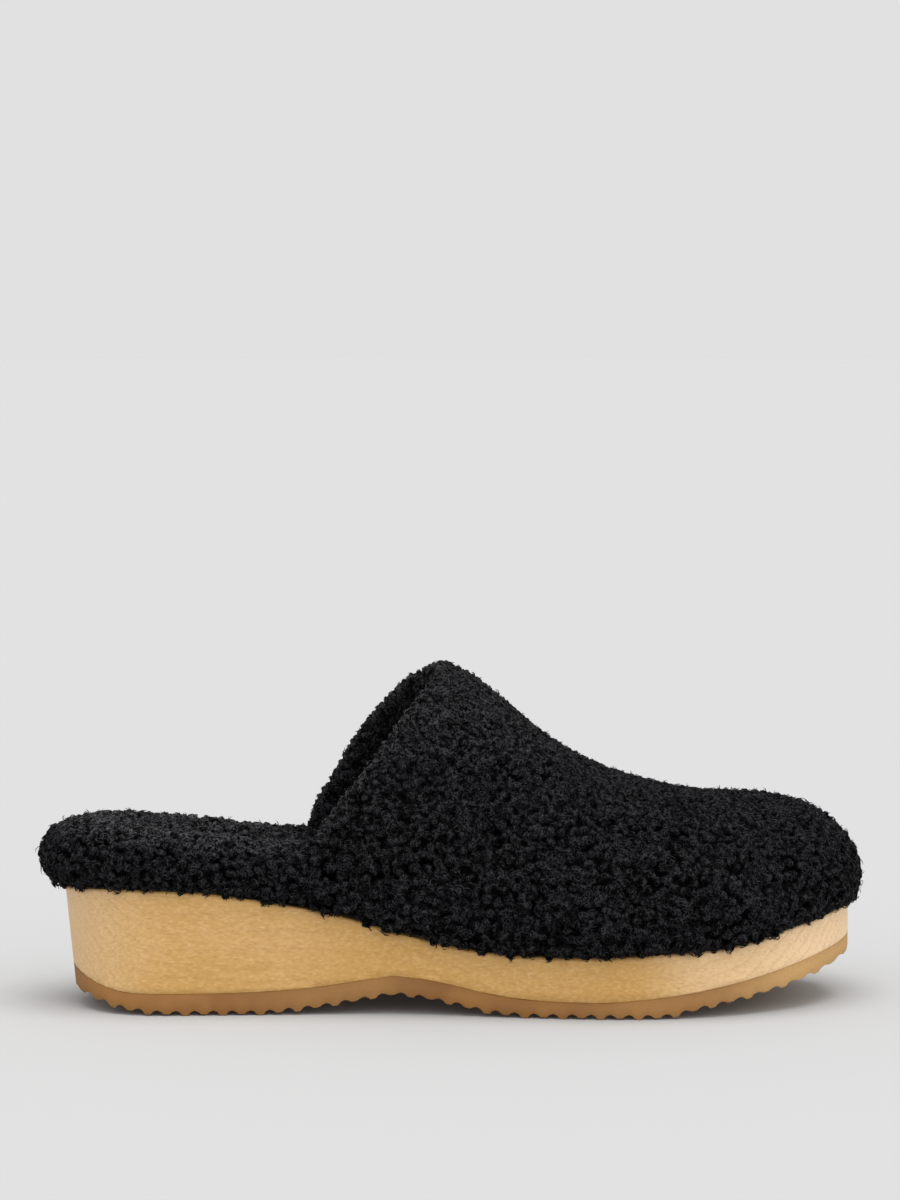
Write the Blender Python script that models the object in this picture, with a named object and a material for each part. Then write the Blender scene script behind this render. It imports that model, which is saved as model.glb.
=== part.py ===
"""Clog slipper for the right foot.

A wooden platform sole with a heel carries a rippled rubber outsole below, and above it a
padded shearling footbed with a rolled rim and a one-piece shearling upper. The upper is
open at the back, so the slipper is a mule.

Sizes are millimetres. A station x is counted from the back of the wood towards the toe,
z from the floor, and the outer side of this right shoe lies at negative y. The finished
pieces are moved together so that the middle of the shoe stands over the origin, with +X
to the toe and +Z up.
"""
import bpy
import bmesh
from bisect import bisect_right
from math import acos, cos, pi, radians, sin
from mathutils import Vector

MM = 0.001
GAP = 0.3                  # between hard pieces that meet
SOFT_GAP = 0.4             # between the footbed and the wood's hollow

# Driving sizes of the last and the sole
LENGTH = 251.0             # back to toe of the wood, for a women's size of about 38
HEEL_ROUND = 34.0          # length over which the heel's outline closes
HEEL_POWER = 2.1
TOE_ROUND = {"outer": 84.0, "inner": 54.0}
TOE_POWER = {"outer": 2.15, "inner": 2.3}
HEEL_POLE = 32.0           # where the heel's and the toe's outlines fan out from
TOE_POLE = 206.0
SIDES = {"outer": -1.0, "inner": 1.0}

# Wooden sole
HEEL_BEVEL = 6.5           # rise of the wood's underside at the back
HEEL_BEVEL_LENGTH = 24.0
BACK_LEAN = 0.10           # the back of the heel leans in by this much for each mm down
BACK_LEAN_LENGTH = 26.0
WOOD_CHAMFER = 0.3
WOOD_TOP_ROUND = 1.2
WOOD_DISH = 2.0            # hollow of the wood's top under the footbed
WOOD_STATIONS = 44
END_SHARE = 0.25           # how near its ends the first and last section lie
CROWN_STEPS = 6

# Rubber outsole with ripples across it
RIPPLE_PITCH = 5.84
FIRST_TIP = 3.32
RIPPLE_TIP = 1.7           # flat of each tip
SHORT_TIP = 0.4            # every second tip stops this much short
GROOVE = ((0.22, 0.72), (0.5, 1.0), (0.78, 0.72))   # shares of its width and depth
END_TRIM = 0.3             # the end faces stand this far in from the outline's ends
GROUND_BEVEL = 6.2
GROUND_BEVEL_LENGTH = 36.0

# Padded footbed
PAD_OVERHANG = 5.0         # the pile stands this far outside the wood
PAD_BACK_OVERHANG = 8.0
PAD_UNDER_ROUND = 6.5      # how the rolled rim rounds below and above
PAD_CREST_ROUND = 16.0
PAD_INSIDE = 4.8           # inside the upper the footbed's edge lies this far in
PAD_INSIDE_ROUND = 7.0
PAD_SHOULDER = 77.0        # the rolled rim ends here, against the upper
SHOULDER_STEP = 0.4
PAD_HEEL_STEPS = 14
PAD_FRONT_STEPS = 18
PAD_UNDER_STEPS = 4
PAD_ROLL_STEPS = 8
PAD_DISH_STEPS = 5

# Shearling upper
WALL = 7.0                 # hide with its pile on both faces
UPPER_OVERHANG = 5.5
UPPER_TOE_OVERHANG = 3.8
WIDEST_RISE = 8.0          # the pile is widest this far above the wood
TUCK_POWER = 0.6           # how squarely the pile turns in below its widest line
SEAT = 4.0                 # the upper's foot reaches this far in over the wood
UPPER_BACK = PAD_SHOULDER + SHOULDER_STEP + GAP
COLLAR_TOP = 122.0         # station of the collar's highest point
COLLAR_ROLL_START = 52.0   # the collar's edge is flat below this height
COLLAR_ROLL_FULL = 62.0
COLLAR_ROLL_TURNS = (45, 90, 135)
SIDE_STEPS = 18            # columns from the collar to the toe pole
TOE_STEPS = 10             # columns from the toe pole's side to the tip
WALL_STEPS = 13            # rows from the widest line to the top line
TUCK_STEPS = 3             # rows below the widest line

PILE_SWELL = 0.5           # soft unevenness of the pile
SWELL_LENGTH = 14.0


class Table:
    """Sizes in rows along the shoe, read between the rows on a smooth curve."""

    def __init__(self, columns, *rows):
        self.columns = dict(zip(columns, zip(*rows)))
        self.stations = self.columns.pop("x")

    def slope(self, values, i):
        """Slope at a row: the harmonic mean of its two sides, so nothing overshoots."""
        steps = [(values[j + 1] - values[j]) / (self.stations[j + 1] - self.stations[j])
                 for j in (i - 1, i) if 0 <= j < len(values) - 1]
        if len(steps) == 1:
            return steps[0]
        before, after = steps
        return 2 * before * after / (before + after) if before * after > 0 else 0.0

    def at(self, name, x):
        stations, values = self.stations, self.columns[name]
        x = min(max(x, stations[0]), stations[-1])
        i = min(bisect_right(stations, x) - 1, len(stations) - 2)
        width = stations[i + 1] - stations[i]
        t = (x - stations[i]) / width
        a, b = self.slope(values, i) * width, self.slope(values, i + 1) * width
        return (values[i] * (1 + 2 * t) * (1 - t) ** 2 + a * t * (1 - t) ** 2
                + values[i + 1] * t * t * (3 - 2 * t) + b * t * t * (t - 1))


# Half widths of the wood on its two sides, and the line that both ends close on
OUTLINE = Table(
    ("x", "outer", "inner", "centre"),
    (0, 32.5, 32.5, 0.0),
    (40, 32.6, 32.4, 0.0),
    (60, 32.6, 31.4, 0.0),
    (80, 32.8, 29.6, 0.0),
    (100, 34.2, 28.6, 0.2),
    (120, 37.2, 29.8, 0.8),
    (140, 41.6, 33.8, 1.8),
    (160, 45.6, 39.4, 3.0),
    (180, 47.8, 44.2, 4.2),
    (200, 48.4, 46.8, 5.4),
    (225, 48.0, 47.6, 6.6),
    (251, 47.0, 47.6, 7.5))

# Heights seen from the side: wood's top edge, seam of wood and rubber, tips of the tread.
# The last column is the depth of the tread's ripples.
PROFILE = Table(
    ("x", "top", "seam", "ground", "ripple"),
    (0, 38.2, 6.8, 0.0, 1.3),
    (20, 39.4, 6.8, 0.0, 1.5),
    (40, 38.8, 6.8, 0.0, 1.6),
    (60, 36.2, 7.2, 0.0, 1.6),
    (75, 33.6, 8.2, 1.3, 1.5),
    (90, 30.4, 10.2, 3.7, 1.3),
    (104, 26.0, 12.3, 6.0, 1.2),
    (118, 22.9, 10.4, 4.1, 1.3),
    (134, 20.0, 7.0, 0.8, 1.5),
    (146, 19.4, 5.6, 0.0, 1.6),
    (165, 19.2, 5.1, 0.0, 1.6),
    (184, 20.2, 6.4, 0.0, 1.5),
    (200, 20.8, 8.6, 2.8, 1.3),
    (215, 23.0, 11.4, 5.6, 1.2),
    (230, 26.8, 15.0, 9.0, 1.1),
    (241, 29.0, 17.9, 12.0, 1.1),
    (251, 30.8, 20.6, 15.4, 1.1))

# Height of the footbed's rim, and how far its middle lies below that
FOOTBED = Table(
    ("x", "crest", "dish"),
    (0, 58.8, 3.5),
    (12, 58.4, 4.0),
    (30, 57.0, 5.0),
    (50, 55.2, 6.0),
    (66, 53.4, 6.0),
    (77, 53.2, 6.0),
    (90, 48.0, 5.5),
    (106, 42.5, 5.0),
    (122, 38.0, 4.5),
    (145, 33.0, 3.0),
    (175, 29.5, 2.0),
    (205, 31.0, 1.5),
    (240, 37.5, 1.0))

# Top line of the upper, the fullness of its cross sections, and the heights at which the
# collar cuts it on its two sides
UPPER = Table(
    ("x", "ridge", "fullness"),
    (77, 122.0, 2.1),
    (95, 118.0, 2.1),
    (110, 113.0, 2.1),
    (122, 107.4, 2.1),
    (130, 103.4, 2.1),
    (138, 96.8, 2.15),
    (146, 90.0, 2.2),
    (154, 83.5, 2.25),
    (162, 78.4, 2.3),
    (172, 73.4, 2.35),
    (184, 69.4, 2.4),
    (196, 66.4, 2.45),
    (208, 64.8, 2.5),
    (222, 65.0, 2.5),
    (238, 65.6, 2.4),
    (255, 63.0, 2.3))
COLLAR = Table(
    ("x", "outer", "inner"),
    (78, 55.0, 55.0),
    (86, 62.8, 64.8),
    (95, 73.4, 80.6),
    (104, 85.7, 93.0),
    (113, 96.8, 102.0),
    (122, 107.4, 107.4))


def rounded_end(distance, length, power):
    """Share of the full width at a distance from a rounded end."""
    share = min(max(distance / length, 0.0), 1.0)
    return (1 - (1 - share) ** power) ** (1 / power)


def edge(x, side):
    """The wood's outline: y of its edge on one side at a station."""
    centre = OUTLINE.at("centre", x)
    half = OUTLINE.at(side, x) - centre * SIDES[side]
    half *= rounded_end(x, HEEL_ROUND, HEEL_POWER)
    half *= rounded_end(LENGTH - x, TOE_ROUND[side], TOE_POWER[side])
    return centre + SIDES[side] * half


def rim(x, side, grow=0.0):
    """Plan point of the outline at a station, moved outward by grow."""
    turn = acos(min(max(1 - 2 * x / LENGTH, -1.0), 1.0))

    def on_outline(angle):
        other = {"outer": "inner", "inner": "outer"}[side]
        here = other if angle < 0 or angle > pi else side
        station = LENGTH / 2 * (1 - cos(angle))
        return Vector((station, edge(station, here)))

    step = 0.01
    along = on_outline(turn + step) - on_outline(turn - step)
    outward = Vector((-along.y, along.x)).normalized() * SIDES[side]
    return on_outline(turn) + outward * grow


def spine(x):
    """Plan point of the middle line, between the two poles."""
    x = min(max(x, HEEL_POLE), TOE_POLE)
    return Vector((x, OUTLINE.at("centre", x)))


def fade(x, length):
    """Falls smoothly from 1 at the back of the heel to 0 at a station."""
    return max(1 - x / length, 0.0) ** 2


def seam_height(x):
    return PROFILE.at("seam", x) + HEEL_BEVEL * fade(x, HEEL_BEVEL_LENGTH)


def ground_height(x):
    return PROFILE.at("ground", x) + GROUND_BEVEL * fade(x, GROUND_BEVEL_LENGTH)


def wood_top(x, y):
    """Height of the wood's hollowed top, and of its edge outside the outline."""
    x = min(max(x, 0.0), LENGTH)
    low, high = edge(x, "outer"), edge(x, "inner")
    across = (2 * y - low - high) / (high - low) if high - low > 1 else 1.0
    return PROFILE.at("top", x) - WOOD_DISH * max(1 - across * across, 0.0)


def lean(x, z):
    """The back of the heel leans in towards the floor."""
    return BACK_LEAN * fade(x, BACK_LEAN_LENGTH) * (PROFILE.at("top", 0) - z)


def swell(x, y, z):
    """Soft unevenness of the pile, as a share of its height."""
    a, b, c = (2 * pi * v / SWELL_LENGTH for v in (x, y, z))
    return (sin(a + 0.7 * sin(b)) * cos(b + 0.4 * c) + sin(c + 1.3) * cos(0.6 * a - b)) / 2


class Skin:
    """A closed surface put together from grids of points that share their borders."""

    def __init__(self):
        self.mesh = bmesh.new()
        self.known = {}

    def vertex(self, point):
        key = tuple(round(v, 4) for v in point)
        if key not in self.known:
            self.known[key] = self.mesh.verts.new([v * MM for v in point])
        return self.known[key]

    def face(self, points):
        corners = list(dict.fromkeys(self.vertex(p) for p in points))
        if len(corners) > 2 and not self.mesh.faces.get(corners):
            self.mesh.faces.new(corners)

    def grid(self, lines, closed=False):
        """Faces between neighbouring lines of points, closed from the last to the first."""
        pairs = list(zip(lines, lines[1:])) + ([(lines[-1], lines[0])] if closed else [])
        for one, two in pairs:
            for i in range(len(one) - 1):
                self.face((one[i], one[i + 1], two[i + 1], two[i]))

    def finish(self, name, material):
        bmesh.ops.triangulate(self.mesh, faces=self.mesh.faces[:])
        bmesh.ops.recalc_face_normals(self.mesh, faces=self.mesh.faces[:])
        data = bpy.data.meshes.new(name)
        self.mesh.to_mesh(data)
        self.mesh.free()
        data.materials.append(material)
        data.shade_smooth()
        data.set_sharp_from_angle(angle=radians(40))
        piece = bpy.data.objects.new(name, data)
        bpy.context.collection.objects.link(piece)
        return piece


def loft(sections, name, material):
    """A solid through closed cross sections, with a flat face at each end."""
    skin = Skin()
    skin.grid([section + section[:1] for section in sections])
    for section in (sections[0], sections[-1]):
        skin.face(section)
    return skin.finish(name, material)


def finish_of(name, colour, roughness):
    material = bpy.data.materials.new(name)
    material.use_nodes = True
    shader = material.node_tree.nodes["Principled BSDF"]
    shader.inputs["Base Color"].default_value = (*colour, 1.0)
    shader.inputs["Roughness"].default_value = roughness
    shader.inputs["Metallic"].default_value = 0.0
    return material


def make_wood_sole(material):
    """Platform, heel and arch in one block, with a hollowed top and a small chamfer."""
    sections = []
    for i in range(WOOD_STATIONS):
        x = LENGTH / 2 * (1 - cos(pi * (i + END_SHARE) / (WOOD_STATIONS - 1 + 2 * END_SHARE)))
        low, high = edge(x, "outer"), edge(x, "inner")
        sunk = WOOD_TOP_ROUND * (1 - rounded_end(min(x, LENGTH - x), WOOD_TOP_ROUND, 2))
        base, top = seam_height(x), PROFILE.at("top", x) - sunk
        chamfer = min(WOOD_CHAMFER, (high - low) / 8)
        rounding = min(WOOD_TOP_ROUND - 0.9 * sunk, (high - low) / 3)
        right = [(high - chamfer, base), (high, base + chamfer), (high, top - rounding),
                 (high - 0.3 * rounding, top - 0.3 * rounding)]
        left = [(low + high - y, z) for y, z in reversed(right)]
        flat = high - low - 2 * rounding
        across = [high - rounding - flat * t / CROWN_STEPS for t in range(CROWN_STEPS + 1)]
        crown = [(y, wood_top(x, y) - sunk) for y in across]
        sections.append([(x + lean(x, z), y, z) for y, z in right + crown + left])
    return loft(sections, "wood_sole", material)


def ripple_stations():
    """Stations across the tread, each with its height above the line of the tips."""
    groove_width = RIPPLE_PITCH - RIPPLE_TIP
    profile = [(-RIPPLE_TIP / 2, 0.0), (RIPPLE_TIP / 2, 0.0)]
    profile += [(RIPPLE_TIP / 2 + groove_width * along, depth) for along, depth in GROOVE]
    for i in range(int(LENGTH / RIPPLE_PITCH) + 1):
        short = SHORT_TIP if i % 2 else 0.0
        for offset, share in profile:
            x = FIRST_TIP + i * RIPPLE_PITCH + offset
            if x < LENGTH - 2 * END_TRIM:
                yield x, max(PROFILE.at("ripple", x) * share, short)


def make_outsole(material):
    """Rubber outsole that follows heel, arch and toe spring, rippled across."""
    back, front = (END_TRIM, 0.0), (LENGTH - END_TRIM, 0.0)
    sections = []
    for x, rise in [back, *ripple_stations(), front]:
        low, high = edge(x, "outer"), edge(x, "inner")
        base, top = ground_height(x) + rise, seam_height(x) - GAP
        corners = ((low, base), (high, base), (high, top), (low, top))
        sections.append([(x + lean(x, z), y, z) for y, z in corners])
    return loft(sections, "outsole", material)


def footbed_shape(x):
    """How far out the footbed reaches at a station, and its roundings below and above."""
    if x > PAD_SHOULDER:
        return -PAD_INSIDE, PAD_INSIDE_ROUND / 2, PAD_INSIDE_ROUND
    back = (PAD_BACK_OVERHANG - PAD_OVERHANG) * fade(x, HEEL_POLE)
    return PAD_OVERHANG + back, PAD_UNDER_ROUND, PAD_CREST_ROUND


def footbed_line(x, side):
    """From the middle of the underside, round the rolled rim, to the middle of the top."""
    reach, below, above = footbed_shape(x)
    middle = spine(x)
    crest, dish = FOOTBED.at("crest", x), FOOTBED.at("dish", x)
    foot = rim(x, side, reach - below)
    line = []
    for step in range(PAD_UNDER_STEPS):
        p = middle.lerp(foot, step / PAD_UNDER_STEPS)
        line.append((p.x, p.y, wood_top(p.x, p.y) + SOFT_GAP))
    seat = wood_top(foot.x, foot.y) + SOFT_GAP
    for step in range(PAD_ROLL_STEPS + 1):
        angle = radians(-90 + 180 * step / PAD_ROLL_STEPS)
        p = rim(x, side, reach - (below if angle < 0 else above) * (1 - cos(angle)))
        z = (crest + seat) / 2 + (crest - seat) / 2 * sin(angle)
        pile = PILE_SWELL if x <= PAD_SHOULDER and 0 < step < PAD_ROLL_STEPS else 0.0
        out = (p - middle).normalized() * pile * swell(p.x, p.y, z)
        line.append((p.x + out.x, p.y + out.y, z))
    hill = Vector(line[-1][:2])
    for step in range(1, PAD_DISH_STEPS):
        p = hill.lerp(middle, step / PAD_DISH_STEPS)
        line.append((p.x, p.y, crest - dish * (1 - cos(pi * step / PAD_DISH_STEPS)) / 2))
    bottom = FOOTBED.at("crest", middle.x) - FOOTBED.at("dish", middle.x)
    return line + [(middle.x, middle.y, bottom)]


def make_footbed(material):
    """Cushion covered in shearling: a rolled rim round the heel, then inside the upper."""
    stations = [PAD_SHOULDER * (1 - cos(pi / 2 * i / PAD_HEEL_STEPS))
                for i in range(PAD_HEEL_STEPS + 1)]
    front = PAD_SHOULDER + SHOULDER_STEP
    stations += [front + (LENGTH - front) * sin(pi / 2 * i / PAD_FRONT_STEPS)
                 for i in range(PAD_FRONT_STEPS + 1)]
    skin = Skin()
    outer = [footbed_line(x, "outer") for x in stations]
    inner = [footbed_line(x, "inner") for x in stations[1:-1]]
    skin.grid(outer + inner[::-1], closed=True)
    return skin.finish("footbed", material)


def widest_height(x):
    """Height of the line along which the pile of the upper stands out most."""
    return PROFILE.at("top", x) + GAP + WIDEST_RISE


def collar_station(side, angle):
    """Station at which the collar cuts a row of the upper."""
    near, far = UPPER_BACK, COLLAR_TOP
    while far - near > 1e-9:
        x = (near + far) / 2
        rise = sin(angle) ** (2 / UPPER.at("fullness", x))
        height = widest_height(x) + (UPPER.at("ridge", x) - widest_height(x)) * rise
        near, far = (x, far) if height > COLLAR.at(side, x) else (near, x)
    return near


def upper_rows():
    """Angles of the rows, from the foot of the wall to the top line."""
    below = [radians(90 * (i / TUCK_STEPS - 1)) for i in range(TUCK_STEPS)]
    return below + [radians(90 * i / WALL_STEPS) for i in range(WALL_STEPS + 1)]


def upper_point(x, side, angle, wall=0.0):
    """A point of the upper's outer face, or of its inner face with the wall taken off."""
    toe = rounded_end(x - TOE_POLE, LENGTH - TOE_POLE, 1)
    overhang = UPPER_OVERHANG + (UPPER_TOE_OVERHANG - UPPER_OVERHANG) * toe
    full = overhang - wall
    widest = widest_height(x)
    if angle < 0:
        foot = -SEAT if wall else 0.0
        p = rim(x, side, foot + (full - foot) * max(cos(angle), 0.0) ** TUCK_POWER)
        return (p.x, p.y, widest + WIDEST_RISE * sin(angle))
    middle = spine(x)
    power = 2 / UPPER.at("fullness", x)
    p = middle.lerp(rim(x, side, full), max(cos(angle), 0.0) ** power)
    z = widest + (UPPER.at("ridge", p.x) - wall - widest) * sin(angle) ** power
    on_top = sin(angle) > 1 - 1e-9
    bump = 0.0 if wall or on_top else PILE_SWELL * swell(p.x, p.y, z)
    out = (p - middle).normalized() * bump * cos(angle)
    return (p.x + out.x, p.y + out.y, z + bump * sin(angle))


def upper_column(step, side, wall=0.0):
    """One line of points from the wall's foot to the top, between collar and toe pole."""
    points = []
    for angle in upper_rows():
        start = collar_station(side, angle) if angle > 0 else UPPER_BACK
        x = start + (TOE_POLE - start) * step / SIDE_STEPS
        points.append(upper_point(x, side, angle, wall))
    return points


def toe_column(step, side, wall=0.0):
    """One line of points that fans out from the toe pole."""
    x = TOE_POLE + (LENGTH - TOE_POLE) * sin(pi / 2 * step / TOE_STEPS)
    return [upper_point(x, side, angle, wall) for angle in upper_rows()]


def upper_face(wall=0.0):
    """Columns from the collar's outer side, round the toe, to its inner side."""
    outer, inner = ([upper_column(i, side, wall) for i in range(SIDE_STEPS)]
                    + [toe_column(i, side, wall) for i in range(TOE_STEPS)]
                    for side in ("outer", "inner"))
    return outer + [toe_column(TOE_STEPS, "inner", wall)] + inner[::-1]


def collar_edge(outside, inside, following):
    """Lines that round the collar's edge from the outer face to the inner one."""
    lines = [outside]
    for turn in COLLAR_ROLL_TURNS:
        line = [inside[0]]
        for points in zip(outside[1:], inside[1:], following[1:]):
            a, b, c = (Vector(p) for p in points)
            middle = (a + b) / 2
            roll = (middle.z - COLLAR_ROLL_START) / (COLLAR_ROLL_FULL - COLLAR_ROLL_START)
            roll = min(max(roll, 0.0), 1.0) * (a - b).length / 2
            back = (a - c).normalized() * roll * sin(radians(turn))
            line.append(tuple(middle + (a - middle) * cos(radians(turn)) + back))
        lines.append(line)
    return lines + [inside]


def make_upper(material):
    """One hollow wall over the instep and toe, open at the collar and underneath."""
    outside, inside = upper_face(), upper_face(WALL)
    skin = Skin()
    skin.grid(outside)
    skin.grid(inside)
    skin.grid([[column[0] for column in outside], [column[0] for column in inside]])
    skin.grid(collar_edge(outside[0], inside[0], outside[1]))
    skin.grid(collar_edge(outside[-1], inside[-1], outside[-2]))
    return skin.finish("upper", material)


def stand_on_origin(pieces):
    """Moves all pieces so that the middle of the shoe's box stands over the origin."""
    corners = [v.co for piece in pieces for v in piece.data.vertices]
    low = Vector([min(c[i] for c in corners) for i in range(3)])
    high = Vector([max(c[i] for c in corners) for i in range(3)])
    for piece in pieces:
        piece.location = (-(low.x + high.x) / 2, -(low.y + high.y) / 2, -low.z)


def main():
    for thing in list(bpy.data.objects):
        bpy.data.objects.remove(thing)
    rubber = finish_of("tan_rubber", (0.30, 0.15, 0.05), 0.7)
    wood = finish_of("alder_wood", (0.51, 0.32, 0.13), 0.5)
    pile = finish_of("black_shearling", (0.008, 0.008, 0.009), 0.95)
    stand_on_origin([make_outsole(rubber), make_wood_sole(wood),
                     make_footbed(pile), make_upper(pile)])


main()
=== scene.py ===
"""Looks of a clog slipper: studio, rubber outsole, wooden sole, shearling footbed and upper.

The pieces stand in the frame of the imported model, in metres, with +X towards the toe. The
sizes below are millimetres.
"""
from math import pi, radians, sqrt
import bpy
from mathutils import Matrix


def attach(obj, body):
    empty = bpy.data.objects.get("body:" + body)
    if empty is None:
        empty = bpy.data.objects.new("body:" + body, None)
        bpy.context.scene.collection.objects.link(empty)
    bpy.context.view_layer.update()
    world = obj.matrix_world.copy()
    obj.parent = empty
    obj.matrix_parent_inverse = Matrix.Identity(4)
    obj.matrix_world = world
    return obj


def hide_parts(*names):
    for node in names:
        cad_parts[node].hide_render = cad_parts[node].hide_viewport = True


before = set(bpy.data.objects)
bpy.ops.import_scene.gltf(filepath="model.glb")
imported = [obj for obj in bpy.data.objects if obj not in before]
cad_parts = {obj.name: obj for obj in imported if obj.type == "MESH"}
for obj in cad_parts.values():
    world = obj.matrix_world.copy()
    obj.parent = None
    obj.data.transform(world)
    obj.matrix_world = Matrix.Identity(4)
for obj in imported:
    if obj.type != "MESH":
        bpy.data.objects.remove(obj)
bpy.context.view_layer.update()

from types import SimpleNamespace

import bmesh
import bpy
import numpy as np
from mathutils import Vector
from mathutils.bvhtree import BVHTree
from mathutils.kdtree import KDTree

# Studio: an even pale floor that runs to the horizon under a sky of the same tone, with soft
# light from above and from both sides. The camera looks at the outer side of the shoe from a
# long way off, a little above.
MM = 0.001
CAMERA_PLACE = (-65.8, -1288.4, 208.4)
CAMERA_TURN = 2.887            # degrees that the camera pans towards the toe
CAMERA_TILT = 3.591            # degrees that it looks down
SHOE_DISTANCE = 1300.0
FRAME_HEIGHT = 384.0           # what the picture takes in at that distance
FILM = 36.0
FLOOR_TONE = 0.462
FLOOR_HALF_WIDTH = 60000.0
SKY = 0.75


class Wire:
    """An output in a material's nodes. Sums on it add the Math nodes that work them out."""

    def __init__(self, finish, socket):
        self.finish = finish
        self.socket = socket

    def maths(self, operation, *terms):
        return self.finish.node("Math", {"operation": operation}, dict(enumerate((self, *terms))))

    def __add__(self, other):
        return self.maths("ADD", other)

    def __sub__(self, other):
        return self.maths("SUBTRACT", other)

    def __rsub__(self, other):
        return self * -1.0 + other

    def __mul__(self, other):
        return self.maths("MULTIPLY", other)

    def __truediv__(self, other):
        return self.maths("DIVIDE", other)

    def __pow__(self, other):
        return self.maths("POWER", other)

    def __mod__(self, other):
        return self.maths("FLOORED_MODULO", other)

    __radd__ = __add__
    __rmul__ = __mul__

    def step(self, low, high):
        """0 below low, 1 above high, and smooth between."""
        limits = {"From Min": low, "From Max": high, "Value": self}
        return self.finish.node("MapRange", {"interpolation_type": "SMOOTHSTEP"}, limits)


class Finish:
    """A material with one Principled shader, which its nodes drive."""

    def __init__(self, name, **sockets):
        self.material = bpy.data.materials.new(name)
        self.material.use_nodes = True
        self.tree = self.material.node_tree
        self.shader = self.tree.nodes["Principled BSDF"]
        for socket, value in sockets.items():
            self.drive(socket.replace("_", " "), value)

    def drive(self, socket, value):
        """Sets one of the shader's sockets to a number, a colour or an output."""
        self.join(self.shader.inputs[socket], value)

    def join(self, socket, value):
        if isinstance(value, Wire):
            self.tree.links.new(value.socket, socket)
        elif isinstance(value, tuple) and socket.type == "RGBA":
            socket.default_value = (*value, 1.0)
        else:
            socket.default_value = value

    def node(self, kind, settings, inputs, output=0):
        """Adds a node: its settings first, then the values or links of its sockets."""
        node = self.tree.nodes.new("ShaderNode" + kind)
        for name, value in settings.items():
            setattr(node, name, value)
        for name, value in inputs.items():
            self.join(node.inputs[name], value)
        return Wire(self, node.outputs[output])

    def place(self, stretch=(1.0, 1.0, 1.0), shift=(0.0, 0.0, 0.0)):
        """The point on the shoe in millimetres, shifted and then stretched."""
        point = self.node("TexCoord", {}, {}, "Object")
        scale = tuple(v / MM for v in stretch)
        back = tuple(v * s for v, s in zip(shift, stretch))
        return self.node("VectorMath", {"operation": "MULTIPLY_ADD"}, {0: point, 1: scale, 2: back})

    def station(self):
        """How far towards the toe the point lies, in millimetres."""
        return self.node("SeparateXYZ", {}, {0: self.place()})

    def noise(self, size, stretch=(1.0, 1.0, 1.0), detail=2.0):
        """Noise of about 0 to 1, with lumps of a size in millimetres."""
        scale = tuple(v / size for v in stretch)
        return self.node("TexNoise", {}, {"Vector": self.place(scale), "Scale": 1.0, "Detail": detail})

    def mark(self, name):
        """A number that the mesh holds at each of its corners."""
        return self.node("Attribute", {"attribute_name": name}, {}, "Fac")

    def blend(self, share, one, two):
        """A colour between two, by a share from 0 to 1."""
        return self.node("Mix", {"data_type": "RGBA"}, {0: share, 6: one, 7: two}, 2)

    def relief(self, height, depth):
        """Bump of a depth in millimetres."""
        return self.node("Bump", {}, {"Height": height, "Distance": depth * MM, "Strength": 1.0})


def new_piece(name, data, finish):
    piece = bpy.data.objects.new(name, data)
    bpy.context.scene.collection.objects.link(piece)
    data.materials.append(finish.material)
    return piece


paper = Finish("studio_floor", Roughness=1.0, Specular_IOR_Level=0.0)
paper.drive("Base Color", (FLOOR_TONE,) * 3)
half_width = FLOOR_HALF_WIDTH * MM
floor_corners = [(x * half_width, y * half_width, 0.0) for x, y in ((-1, -1), (1, -1), (1, 1), (-1, 1))]
floor_mesh = bpy.data.meshes.new("studio_floor")
floor_mesh.from_pydata(floor_corners, [], [(0, 1, 2, 3)])
new_piece("studio_floor", floor_mesh, paper)

scene = bpy.context.scene
scene.view_settings.view_transform = "Standard"
scene.world = bpy.data.worlds.new("studio")
scene.world.use_nodes = True
sky = scene.world.node_tree.nodes["Background"]
sky.inputs["Color"].default_value = (1.0, 1.0, 1.0, 1.0)
sky.inputs["Strength"].default_value = SKY


def soft_light(name, towards, width, strength, shadow=True):
    """Parallel light from a patch of the sky, so many degrees wide, in a given direction."""
    lamp = bpy.data.lights.new(name, "SUN")
    lamp.angle = radians(width)
    lamp.energy = strength
    lamp.use_shadow = shadow
    light = bpy.data.objects.new(name, lamp)
    scene.collection.objects.link(light)
    light.rotation_euler = Vector(towards).to_track_quat("Z", "Y").to_euler()


soft_light("light_above", (0.1, -0.15, 1.0), width=50, strength=2.0)
soft_light("light_front", (0.1, -1.0, 0.6), width=70, strength=1.0)
soft_light("light_heel_side", (-1.0, -0.5, 0.4), width=60, strength=0.35, shadow=False)
soft_light("light_toe_side", (1.0, -0.6, 0.4), width=60, strength=0.6, shadow=False)

lens = bpy.data.cameras.new("camera")
lens.sensor_fit = "VERTICAL"
lens.sensor_height = FILM
lens.lens = FILM * SHOE_DISTANCE / FRAME_HEIGHT
camera = bpy.data.objects.new("camera", lens)
scene.collection.objects.link(camera)
camera.location = Vector(CAMERA_PLACE) * MM
camera.rotation_euler = (radians(90 - CAMERA_TILT), 0.0, radians(-CAMERA_TURN))
scene.camera = camera

# Outsole: a sheet of tan rubber glued under the wood and sanded flush with it. Its underside
# is moulded in ripples across the shoe, with round grooves and blunt tips. The rubber is paler
# towards the toe, under the arch and at the back of the heel; at the toe and the heel this is partly
# its own tone and partly painted highlight where the side light falls on the ends.
RUBBER = (0.250, 0.113, 0.026)
RUBBER_DARK = (0.195, 0.082, 0.018)
RUBBER_LIGHT = (0.590, 0.375, 0.150)
RUBBER_EDGE = 0.3              # rounding of its edges and tips
RUBBER_SHARP = 24              # degrees past which an edge is rounded
RUBBER_CREASE = 50             # degrees past which an edge still shades sharp
GLUE_LINE = 0.3                # the sheet meets the wood across this gap
WELD = 0.01


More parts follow.
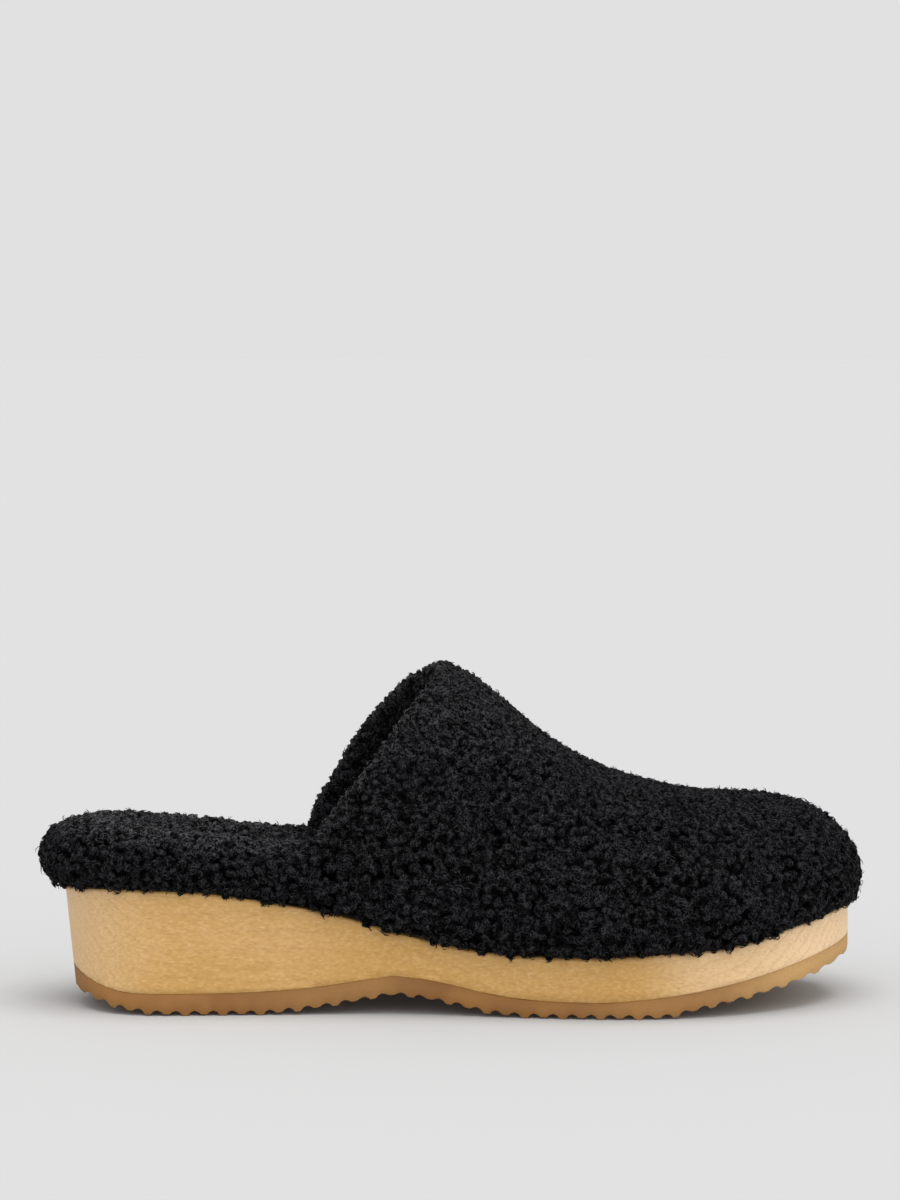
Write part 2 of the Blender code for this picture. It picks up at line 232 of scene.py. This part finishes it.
def copy_of(node, name, finish):
    """A new piece on a CAD node's own faces, with the doubled corners welded."""
    faces = bmesh.new()
    faces.from_mesh(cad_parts[node].data)
    bmesh.ops.remove_doubles(faces, verts=faces.verts[:], dist=WELD * MM)
    data = bpy.data.meshes.new(name)
    faces.to_mesh(data)
    faces.free()
    return new_piece(name, data, finish)


def shade(piece, crease):
    """Shades a piece smooth, but not across its creases."""
    piece.data.shade_smooth()
    piece.data.set_sharp_from_angle(angle=radians(crease))


rubber = Finish("tan_rubber", Roughness=0.72, Specular_IOR_Level=0.35)
station = rubber.station()
# Paler toe and heel: partly the rubber's own tone, partly painted highlight from the side light.
toe_tone_and_highlight = station.step(72.0, 108.0) * 0.46 + station.step(25.0, 60.0) * 0.1
arch_share = (station.step(-75.0, -40.0) - station.step(-30.0, -5.0)) * 0.11
heel_tone_and_highlight = (1 - station.step(-125.0, -105.0)) * 0.1
cloud = rubber.noise(22.0, detail=3.0)
crumb = rubber.noise(0.9, detail=3.0)
tone = rubber.blend(cloud.step(0.35, 0.7), RUBBER_DARK, RUBBER)
tone = rubber.blend(toe_tone_and_highlight + arch_share + heel_tone_and_highlight, tone, RUBBER_LIGHT)
rubber.drive("Base Color", rubber.blend(crumb.step(0.4, 0.8) * 0.22, tone, RUBBER_DARK))
rubber.drive("Normal", rubber.relief(crumb, 0.05))

outsole = copy_of("outsole", "outsole_rubber", rubber)
for corner in outsole.data.vertices:
    if corner.normal.z > 0.3:
        corner.co.z += GLUE_LINE * MM
faces = bmesh.new()
faces.from_mesh(outsole.data)
rounded = [edge for edge in faces.edges if edge.calc_face_angle(0.0) > radians(RUBBER_SHARP)
           and not any(face.normal.z > 0.5 for face in edge.link_faces)]
bmesh.ops.bevel(faces, geom=rounded, offset=RUBBER_EDGE * MM, segments=3, profile=0.5,
                affect="EDGES", clamp_overlap=True)
faces.to_mesh(outsole.data)
faces.free()
shade(outsole, RUBBER_CREASE)
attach(outsole, "root")
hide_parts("outsole")

# Wooden sole: one block of alder, sawn to the outline of the foot with a heel and an arch,
# sanded and lacquered thinly. Its grain runs from heel to toe, and its two ends are paler, partly
# in the wood itself and partly by painted highlight where the side light falls on them.
WOOD_PALE = (0.80, 0.58, 0.355)
WOOD_WARM = (0.482, 0.272, 0.074)
WOOD_FLECK = (0.26, 0.12, 0.035)
PITH = (0.0, 95.0, -60.0)      # a point on the middle line of the tree
RING_PITCH = 2.5
WOOD_LEVELS = range(9, 37, 3)  # its sides are cut at these heights, so that they shade evenly
WOOD_CREASE = 35
TIP_LENGTH = 0.1               # the last of the toe,
TIP_FILL = 0.8                 # where its top edge is filled up by this much


def drawn_out(share):
    """Stretch that draws noise out along the grain, more for a smaller share."""
    return (share, 1.0, 1.0)


wood = Finish("alder_wood", Roughness=0.5, Specular_IOR_Level=0.35)
wander = wood.noise(60.0, drawn_out(0.35)) * 14.0 + wood.noise(12.0, drawn_out(0.35)) * 3.0
from_pith = wood.place(drawn_out(0.12), tuple(-v for v in PITH))
radius = wood.node("VectorMath", {"operation": "LENGTH"}, {0: from_pith}, 1)
late_wood = ((radius + wander) / RING_PITCH % 1.0) ** 6.0
streak = wood.noise(1.1, drawn_out(0.06), 3.0)
cloud = wood.noise(34.0, drawn_out(0.5), 3.0)
fleck = wood.noise(0.62, drawn_out(0.16), 1.0).step(0.62, 0.76)
grit = wood.noise(0.8, drawn_out(0.5), 3.0)
station = wood.station()
# Paler toe and heel: partly the wood's own tone, partly painted highlight from the side light.
toe_tone_and_highlight = station.step(50.0, 80.0) * 0.5 + station.step(80.0, 120.0) * 0.4
heel_tone_and_highlight = (1 - station.step(-135.0, -85.0)) * 0.56 + (1 - station.step(-80.0, 30.0)) * 0.08
end_grain = station.step(62.0, 105.0) + (1 - station.step(-130.0, -96.0)) * 0.6
tone = wood.blend(toe_tone_and_highlight + heel_tone_and_highlight + cloud * 0.4 - 0.2, WOOD_WARM, WOOD_PALE)
tone = wood.blend((streak - 0.5) * 0.35 + 0.08, tone, WOOD_WARM)
tone = wood.blend(late_wood * (end_grain * 0.12 + 0.14), tone, WOOD_FLECK)
tone = wood.blend((grit - 0.5) * 0.9, tone, WOOD_FLECK)
tone = wood.blend((0.5 - grit) * 0.9, tone, WOOD_PALE)
wood.drive("Base Color", wood.blend(fleck * 0.3, tone, WOOD_FLECK))
wood.drive("Normal", wood.relief(streak, 0.03))

wood_sole = copy_of("wood_sole", "wood_sole_block", wood)
toe_end = max(corner.co.x for corner in wood_sole.data.vertices)
tip = [corner for corner in wood_sole.data.vertices if corner.co.x > toe_end - TIP_LENGTH * MM]
middle_height = sum(corner.co.z for corner in tip) / len(tip)
for corner in tip:
    if corner.co.z > middle_height:
        corner.co.z += TIP_FILL * MM
faces = bmesh.new()
faces.from_mesh(wood_sole.data)
for level in WOOD_LEVELS:
    everything = faces.verts[:] + faces.edges[:] + faces.faces[:]
    bmesh.ops.bisect_plane(faces, geom=everything, plane_co=(0, 0, level * MM), plane_no=(0, 0, 1))
bmesh.ops.triangulate(faces, faces=faces.faces[:])
faces.to_mesh(wood_sole.data)
faces.free()
shade(wood_sole, WOOD_CREASE)
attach(wood_sole, "root")
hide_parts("wood_sole")

# Footbed: a foam cushion with a cover of curly black shearling. The cover rolls over the edge
# of the wood behind the upper. Inside the upper the cushion runs on to the toe, with its edge
# stuffed down beside the wall.
# Of these colours, the first is painted shade for the hollows between the nubs and the upper's inner
# face, and the last is painted highlight for the tips that catch the light.
PILE_SHADE = (0.0003, 0.0003, 0.0004)
PILE_DARK = (0.0018, 0.0018, 0.0020)
PILE_LIGHT = (0.032, 0.031, 0.034)
PILE_HIGHLIGHT = (0.078, 0.077, 0.081)
CURL = 1.5                     # size of the crinkles in the wool
CURL_LINES = 26.0
SKIN_PITCH = 0.72              # mesh of the fleece where it shows
COARSE = 0.1                   # share of its faces that is kept where it doesn't
JOIN = -45.97                  # where the footbed's rim meets the upper
JOIN_DEPTH = 1.2
JOIN_TOP = 54.0
SHOWN_INSIDE = 22.0            # the fleece shows this far forward inside the upper
WOOD_REACH = 1.6               # the fleece lies on the wood when it is this near to it
WOOD_ASIDE = 0.35              # and no further than this beside it


def wool_tone(finish, share):
    """From dark to light by a share, with painted highlight where the mark is above 0 and painted shade
    where it is below 0.
    """
    painted_light = finish.mark("painted_light")
    tone = finish.blend(share, PILE_DARK, finish.blend(painted_light, PILE_LIGHT, PILE_HIGHLIGHT))
    return finish.blend(painted_light * -1.0, tone, PILE_SHADE)


def corners_of(mesh):
    """Places and normals of a mesh's corners, in millimetres."""
    places = np.empty(3 * len(mesh.vertices), np.float32)
    mesh.vertices.foreach_get("co", places)
    normals = np.empty_like(places)
    mesh.vertex_normals.foreach_get("vector", normals)
    return places.reshape(-1, 3).astype(float) / MM, normals.reshape(-1, 3).astype(float)


def settle(piece):
    """Makes a piece's mesh what its modifiers make of it."""
    view = bpy.context.evaluated_depsgraph_get()
    shaped = bpy.data.meshes.new_from_object(piece.evaluated_get(view))
    piece.modifiers.clear()
    piece.data = shaped


def fleece_on(node, name, fine):
    """A closed mesh on a CAD node, of small even faces where it is to be fine."""
    piece = copy_of(node, name, fleece)
    remesh = piece.modifiers.new("even", "REMESH")
    remesh.mode = "VOXEL"
    remesh.voxel_size = SKIN_PITCH * MM
    settle(piece)
    coarse = ~fine(*corners_of(piece.data))
    group = piece.vertex_groups.new(name="coarse")
    group.add(np.flatnonzero(coarse).tolist(), 1.0, "REPLACE")
    thin = piece.modifiers.new("coarse", "DECIMATE")
    thin.ratio = 1 - (1 - COARSE) * coarse.mean()
    thin.vertex_group = "coarse"
    settle(piece)
    piece.vertex_groups.clear()
    piece.data.shade_smooth()
    return piece


def on_wood(points, facing):
    """Faces that lie on the wood."""
    lying = facing[:, 2] < -0.4
    for i in np.flatnonzero(lying):
        near, _, _, gap = wood_tree.find_nearest(Vector(points[i]), WOOD_REACH)
        lying[i] = near is not None and gap ** 2 - (points[i, 2] - near.z) ** 2 < WOOD_ASIDE ** 2
    return lying


def at_join(points, facing):
    """The two faces inside the seam where the footbed's rim meets the upper."""
    near = np.abs(points[:, 0] - JOIN) < JOIN_DEPTH
    return near & (np.abs(facing[:, 0]) > 0.75) & (points[:, 2] < JOIN_TOP)


def tucked_in(points, facing):
    """The footbed's edge inside the upper."""
    return (points[:, 0] > JOIN + 0.5) & (facing[:, 2] < 0.35)


def footbed_shows(points, facing):
    ahead = points[:, 0] > SHOWN_INSIDE
    hidden = on_wood(points, facing) | tucked_in(points, facing) | at_join(points, facing)
    return ~ahead & ~hidden


fleece = Finish("black_shearling", Roughness=0.9, Specular_IOR_Level=0.0)
crinkle = (fleece.noise(CURL, detail=1.5) * CURL_LINES).maths("SINE") * 0.5 + 0.5
mottle = fleece.noise(2.6).step(0.28, 0.68)
# Painted shade: the wool is darkest in the hollows between the nubs, by the mark of their height.
out_of_hollow_shade = fleece.mark("height").step(0.25, 1.0)
fleece.drive("Base Color", fleece.blend(out_of_hollow_shade, PILE_SHADE, wool_tone(fleece, crinkle * mottle)))
fleece.drive("Normal", fleece.relief(crinkle, 0.25))

wood_tree = BVHTree.FromPolygons([corner.co / MM for corner in wood_sole.data.vertices],
                                 [face.vertices for face in wood_sole.data.polygons])
footbed = fleece_on("footbed", "footbed_fleece", footbed_shows)
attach(footbed, "root")
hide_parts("footbed")

# Upper: one hide of the same shearling with its wool on both faces, drawn over the last, fixed
# to the edge of the wood and open behind.
MIDDLE = (0, 3, 36)            # a line along the shoe through its inside
LIP_BASE = 57.0                # the collar's lip starts above this height


def inward(points, facing):
    """Faces that look towards the inside of the shoe."""
    middle = points * (1, 0, 0) + MIDDLE
    return ((points - middle) * facing).sum(1) < 0


def upper_shows(points, facing):
    deep = inward(points, facing) & (points[:, 0] > SHOWN_INSIDE)
    return ~on_wood(points, facing) & ~deep & ~at_join(points, facing)


def tree_of(points):
    """Finds the nearest of some points, which keep their numbers."""
    tree = KDTree(len(points))
    for i, point in enumerate(points):
        tree.insert(point, i)
    tree.balance()
    return tree


upper = fleece_on("upper", "upper_fleece", lambda p, n: upper_shows(p, n) & ~inward(p, n))
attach(upper, "root")
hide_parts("upper")
places, facing = corners_of(upper.data)
lip_tree = tree_of(places[(facing[:, 0] < -0.7) & (places[:, 2] > LIP_BASE)])

# Wool of both: it stands in nubs about 2 mm across with hollows between them, which are dark from
# their depth and from painted shade. Each nub is a dome of the fleece with curled strands on it. The
# nubs along the wood hang over its edge, and those on either side of the seam of footbed and upper
# reach over it. The wool has painted highlight on the rolled rim's crest, the collar's lip and the
# instep's top, and painted shade on the upper's inner face.
NUB_TRIES = 1.6                # places tried for a nub on each square millimetre
NUB_SPACING = 2.5              # least distance between two nubs
NUB_FINE = 1.7                 # the same where the fleece is clipped shorter,
FINE_START = 60.0              # which is above this height
FINE_BAND = 30.0
LIP_FINE = 9.0                 # and within this distance of the collar's lip
NUB_BULGE = 0.55               # radius of a nub's dome, as a share of its spacing
NUB_VARIES = (0.85, 1.25)
NUB_OVAL = 0.45                # how oval the domes are, from 0 for round ones
NUB_SPREAD = 1.05              # how far they spread, in radii
NUB_SINK = 0.7                 # depth of a dome's centre, as a share of its radius
HOLLOW = 1.5                   # the hollows between the nubs are at most this deep
UNEVEN = 0.3                   # nubs stand out or back by up to this much
JOIN_LAP = 1.2                 # at the seam the wool of each reaches this far over the other
JOIN_REACH = 3.5
JOIN_FADE = 4.0
TUCK = 1.2                     # inside the upper the footbed's edge is stuffed this much wider
DROOP = (-1.7, 1.4)            # how far nubs stand above the wood's edge, or hang over it
DROOP_RISE = 4.5               # none of that is left at this height over the edge
DROOP_OUT = 0.8                # all of it is there this far outside the wood
EDGE_REACH = 9.0
EDGE_TOP = 62.0                # the wood's edge and what hangs by it lie below this height
# Painted highlight where the tips of the wool catch light from above: on the rolled rim's crest, on the
# instep's top and on the collar's lip; painted shade on the upper's inner face, away from the lip.
CREST_START = 43.0             # the rolled rim is paler above this height,
CREST_FALL = 0.08              # which falls by this much for each mm towards the toe
CREST_BAND = 7.0
CREST_END = -40.0
CREST_FADE = 22.0
TOP_START = 66.0               # the instep is paler above this height,
TOP_BAND = 30.0
TOP_PALE = 0.3                 # by this share
LIP_PALE = 4.0                 # the wool is paler within this distance of the collar's lip,
LIP_SHARE = 0.7                # by this share
INSIDE_SHADE = 0.25                  # and blacker by this share on the upper's inner face


def unit(vectors):
    return vectors / np.maximum(np.linalg.norm(vectors, axis=-1, keepdims=True), 1e-9)


def smooth(share):
    share = np.clip(share, 0.0, 1.0)
    return share * share * (3 - 2 * share)


def near_lip(points, reach):
    """1 on the collar's lip, and less up to a distance from it."""
    return smooth(1 - np.array([lip_tree.find(point)[2] for point in points]) / reach)


def spacing_of(points):
    """Nubs are smaller towards the collar."""
    high = np.clip((points[:, 2] - FINE_START) / FINE_BAND, 0.0, 1.0)
    return NUB_SPACING + (NUB_FINE - NUB_SPACING) * np.maximum(high, near_lip(points, LIP_FINE))


def thrown_on(piece, shows, draw):
    """Points thrown evenly on a fleece where it shows, with its normals there."""
    places, normals = corners_of(piece.data)
    piece.data.calc_loop_triangles()
    triples = np.array([triangle.vertices for triangle in piece.data.loop_triangles])
    a, b, c = (places[triples[:, i]] for i in range(3))
    areas = np.linalg.norm(np.cross(b - a, c - a), axis=1) / 2
    count = int(areas.sum() * NUB_TRIES)
    picks = triples[draw.choice(len(triples), count, p=areas / areas.sum())]
    u, v = draw.random((2, count))
    u, v = np.where(u + v > 1, 1 - u, u), np.where(u + v > 1, 1 - v, v)
    weights = np.stack([1 - u - v, u, v], 1)[:, :, None]
    points = (places[picks] * weights).sum(1)
    facing = unit((normals[picks] * weights).sum(1))
    good = shows(points, facing)
    return points[good], facing[good]


def well_apart(points, apart):
    """Numbers of the points that are kept, so that none is nearer to another than its spacing."""
    cells = np.floor(points / apart.max()).astype(int)
    taken, kept = {}, []
    for i, (x, y, z) in enumerate(cells):
        near = [j for dx in (-1, 0, 1) for dy in (-1, 0, 1) for dz in (-1, 0, 1)
                for j in taken.get((x + dx, y + dy, z + dz), ())]
        if near:
            gaps = points[near] - points[i]
            if (gaps * gaps).sum(1).min() < apart[i] ** 2:
                continue
        taken.setdefault((x, y, z), []).append(i)
        kept.append(i)
    return kept


def picked(nubs, which):
    """Some of the nubs, by their numbers or by a mask."""
    return SimpleNamespace(**{name: values[which] for name, values in vars(nubs).items()})


def scatter(coats, draw):
    """Nubs spread over the fleeces where they show, each a little different."""
    thrown = [thrown_on(piece, shows, draw) for piece, shows in coats]
    places, facing = (np.concatenate(parts) for parts in zip(*thrown))
    owner = np.repeat(np.arange(len(coats)), [len(points) for points, _ in thrown])
    order = draw.permutation(len(places))
    nubs = SimpleNamespace(places=places[order], facing=facing[order], owner=owner[order])
    nubs.apart = spacing_of(nubs.places)
    nubs = picked(nubs, well_apart(nubs.places, nubs.apart))
    count = len(nubs.places)
    nubs.radius = NUB_BULGE * nubs.apart * draw.uniform(*NUB_VARIES, count)
    nubs.lean = unit(np.cross(nubs.facing, draw.normal(size=(count, 3))))
    nubs.lift = draw.uniform(-UNEVEN, UNEVEN, count)
    nubs.droop = draw.uniform(*DROOP, count)
    return nubs


def hanging(points):
    """How much of its nub's droop a point has: all of it at the wood's top edge, less above."""
    shares = np.zeros(len(points))
    for i in np.flatnonzero(points[:, 2] < EDGE_TOP):
        near, _, _, gap = wood_tree.find_nearest(Vector(points[i]), EDGE_REACH)
        if near:
            rise = points[i, 2] - near.z
            aside = sqrt(max(gap * gap - rise * rise, 0.0))
            shares[i] = min(max(1 - rise / DROOP_RISE, 0.0), 1.0) * min(aside / DROOP_OUT, 1.0)
    return shares


def painted_light_of(points, facing):
    """Up to 1 for painted highlight, where the tips of the wool catch the light: on the rolled rim,
    on the collar's lip and on the instep. Below 0 for painted shade inside the upper."""
    above = points[:, 2] + points[:, 0] * CREST_FALL - CREST_START
    rim = smooth(above / CREST_BAND) * smooth((CREST_END - points[:, 0]) / CREST_FADE)
    outward = unit(points * (0, 1, 1) - MIDDLE)
    outer = smooth(((outward * facing).sum(1) + 0.1) / 0.6)
    lip = near_lip(points, LIP_PALE)
    inside = (1 - outer) * (points[:, 0] > JOIN) * (1 - lip)
    top = smooth((points[:, 2] - TOP_START) / TOP_BAND) * outer * TOP_PALE
    lip *= LIP_SHARE * (1 + outer) / 2
    return np.maximum(np.maximum(rim, lip), top) - INSIDE_SHADE * inside


def keep_mark(mesh, name, values):
    mesh.attributes.new(name, "FLOAT", "POINT").data.foreach_set("value", values)


def raise_nubs(piece, shows, nubs, ahead, stuffed=None):
    """Shapes a fleece into domes with hollows between them."""
    tree = tree_of(nubs.places)
    places, normals = corners_of(piece.data)
    near = np.array([[i for _, i, _ in tree.find_n(place, 4)] for place in places])
    apart = places[:, None] - nubs.places[near]
    square = (apart ** 2).sum(2) - NUB_OVAL * (apart * nubs.lean[near]).sum(2) ** 2
    share = np.sqrt(square) / (nubs.radius[near] * NUB_SPREAD)
    bulge = np.sqrt(np.maximum(1 - share ** 2, 0.0)) - NUB_SINK
    domes = nubs.radius[near] * bulge + nubs.lift[near]
    rows, highest = np.arange(len(places)), domes.argmax(1)
    height = np.maximum(domes[rows, highest], -HOLLOW)
    # This mark of height gives the hollows their painted shade.
    keep_mark(piece.data, "height", np.clip(1 + height / HOLLOW, 0, 1))
    # This mark gives painted highlight and painted shade.
    keep_mark(piece.data, "painted_light", painted_light_of(places, normals))
    height = np.where(shows(places, normals), height, 0.0)
    if stuffed:
        height = np.where(stuffed(places, normals) & (normals[:, 2] > -0.5), TUCK, height)
    moved = places + normals * height[:, None]
    moved[:, 2] -= hanging(moved) * nubs.droop[near[rows, highest]]
    lap = np.clip(1 - np.abs(places[:, 0] - JOIN) / JOIN_REACH, 0, 1)
    lap *= np.clip((JOIN_TOP - places[:, 2]) / JOIN_FADE, 0, 1)
    moved[:, 0] += ahead * JOIN_LAP * smooth(lap)
    piece.data.vertices.foreach_set("co", (moved * MM).astype(np.float32).ravel())
    piece.data.update()


draw = np.random.default_rng(11)
nubs = scatter(((footbed, footbed_shows), (upper, upper_shows)), draw)
raise_nubs(footbed, footbed_shows, nubs, 1.0, tucked_in)
raise_nubs(upper, upper_shows, nubs, -1.0)
nubs.places = nubs.places + nubs.facing * nubs.lift[:, None]

# Strands of wool: each lies on its nub as a short curl, and a quarter of them stray from it.
# They are closest along the wood and on the collar's lip, where they make the fleece's edge.
STRAND_THICK = 0.14            # half the thickness of a strand
STRAND_VARIES = (0.8, 1.25)
STRAND_RINGS = 3
STRAND_SIDES = 3
STRAND_LEAN = 0.8              # how far the middle of a curl leans away from its nub's
CURL_OPENS = (22, 55)          # degrees between a curl's middle and its strand
CURL_TURNS = (110, 230)        # degrees that a curl winds
CURL_REACH = (1.02, 1.2)       # distance from the dome's centre, in radii
CURL_SINK = 0.12               # its start lies this much lower
STRAYING = 0.25                # share of the strands that stray
STRAY = (0.2, 0.8)             # how far their ends stand off, in radii
LYING = 0.05                   # and the ends of the others
EDGE_STRANDS = 4               # more strands on each nub along the wood and on the lip
EDGE_DROP = 0.7                # strands along the wood hang lower by up to this much


def curls(nubs, draw):
    """Middle lines of the strands, one for each nub that is given, from start to end."""
    count = len(nubs.radius)
    centre = nubs.places - nubs.facing * (nubs.radius * NUB_SINK)[:, None]
    pole = unit(nubs.facing + STRAND_LEAN * unit(draw.normal(size=(count, 3))))
    one = unit(np.cross(pole, draw.normal(size=(count, 3))))
    two = np.cross(pole, one)
    opening = radians(1) * draw.uniform(*CURL_OPENS, count)
    start = draw.uniform(0, 2 * pi, count)
    sweep = radians(1) * draw.uniform(*CURL_TURNS, count) * np.where(draw.random(count) < 0.5, -1, 1)
    stray = np.where(draw.random(count) < STRAYING, draw.uniform(*STRAY, count), LYING)
    reach = nubs.radius * draw.uniform(*CURL_REACH, count)
    lines = []
    for t in np.linspace(0, 1, STRAND_RINGS + 2):
        turn = start + sweep * t
        ring = np.cos(turn)[:, None] * one + np.sin(turn)[:, None] * two
        arc = np.cos(opening)[:, None] * pole + np.sin(opening)[:, None] * ring
        distance = reach * (1 - CURL_SINK * (1 - t) ** 2 + stray * t * t)
        lines.append(centre + distance[:, None] * arc)
    return np.stack(lines, 1), centre


def tubes(lines, centre, draw):
    """Corners of a tube round each line, from a point at its start to one at its end."""
    count = len(lines)
    ahead = unit(np.gradient(lines, axis=1))
    side = unit(np.cross(ahead, lines - centre[:, None]))
    up = np.cross(side, ahead)
    thick = STRAND_THICK * draw.uniform(*STRAND_VARIES, count)[:, None, None]
    rings = [lines[:, 1:-1] + thick * (np.cos(a) * side + np.sin(a) * up)[:, 1:-1]
             for a in 2 * pi * np.arange(STRAND_SIDES) / STRAND_SIDES]
    rings = np.stack(rings, 2).reshape(count, -1, 3)
    return np.concatenate([lines[:, :1], rings, lines[:, -1:]], 1)


def tube_faces():
    """Triangles of one such tube, which close it at both points."""
    last = STRAND_RINGS * STRAND_SIDES + 1
    faces = []
    for side in range(STRAND_SIDES):
        following = (side + 1) % STRAND_SIDES
        faces.append((0, 1 + following, 1 + side))
        faces.append((last, last - STRAND_SIDES + side, last - STRAND_SIDES + following))
        for ring in range(STRAND_RINGS - 1):
            a, b = (1 + ring * STRAND_SIDES + k for k in (side, following))
            faces += [(a, b, b + STRAND_SIDES), (a, b + STRAND_SIDES, a + STRAND_SIDES)]
    return np.array(faces)


def strand_mesh(name, nubs, per_nub, draw):
    """Curled strands of wool on the nubs, each a closed tapering tube."""
    at_edge = (hanging(nubs.places) > 0.35) | (near_lip(nubs.places, LIP_PALE) > 0.5)
    which = np.repeat(np.arange(len(nubs.places)), per_nub + EDGE_STRANDS * at_edge)
    strands = picked(nubs, which)
    corners = tubes(*curls(strands, draw), draw)
    count, each = corners.shape[:2]
    places = corners.reshape(-1, 3)
    drops = strands.droop + draw.uniform(0, EDGE_DROP, count)
    places[:, 2] -= hanging(places) * np.repeat(drops, each)
    faces = tube_faces() + each * np.arange(count)[:, None, None]
    data = bpy.data.meshes.new(name)
    data.from_pydata(places * MM, [], faces.reshape(-1, 3))
    # Each strand takes its nub's painted highlight and shade.
    keep_mark(data, "painted_light", np.repeat(painted_light_of(nubs.places, nubs.facing)[which], each))
    data.shade_smooth()
    return data


wool = Finish("black_wool", Roughness=0.6, Specular_IOR_Level=0.06)
wool.drive("Base Color", wool_tone(wool, wool.noise(1.3).step(0.35, 0.65)))

on_footbed, on_upper = nubs.owner == 0, nubs.owner == 1
level = nubs.facing[:, 2] > 0.6
inside = inward(nubs.places, nubs.facing)
outer_side = nubs.facing[:, 1] < 0
coats = {"footbed_wool_rim": (on_footbed & ~level, 6),
         "footbed_wool_top": (on_footbed & level, 5),
         "upper_wool_outer_side": (on_upper & ~inside & outer_side, 5),
         "upper_wool_inner_side": (on_upper & ~inside & ~outer_side, 5),
         "upper_wool_lining": (on_upper & inside, 4)}
for name, (mine, per_nub) in coats.items():
    strands = new_piece(name, strand_mesh(name, picked(nubs, mine), per_nub, draw), wool)
    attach(strands, "root")
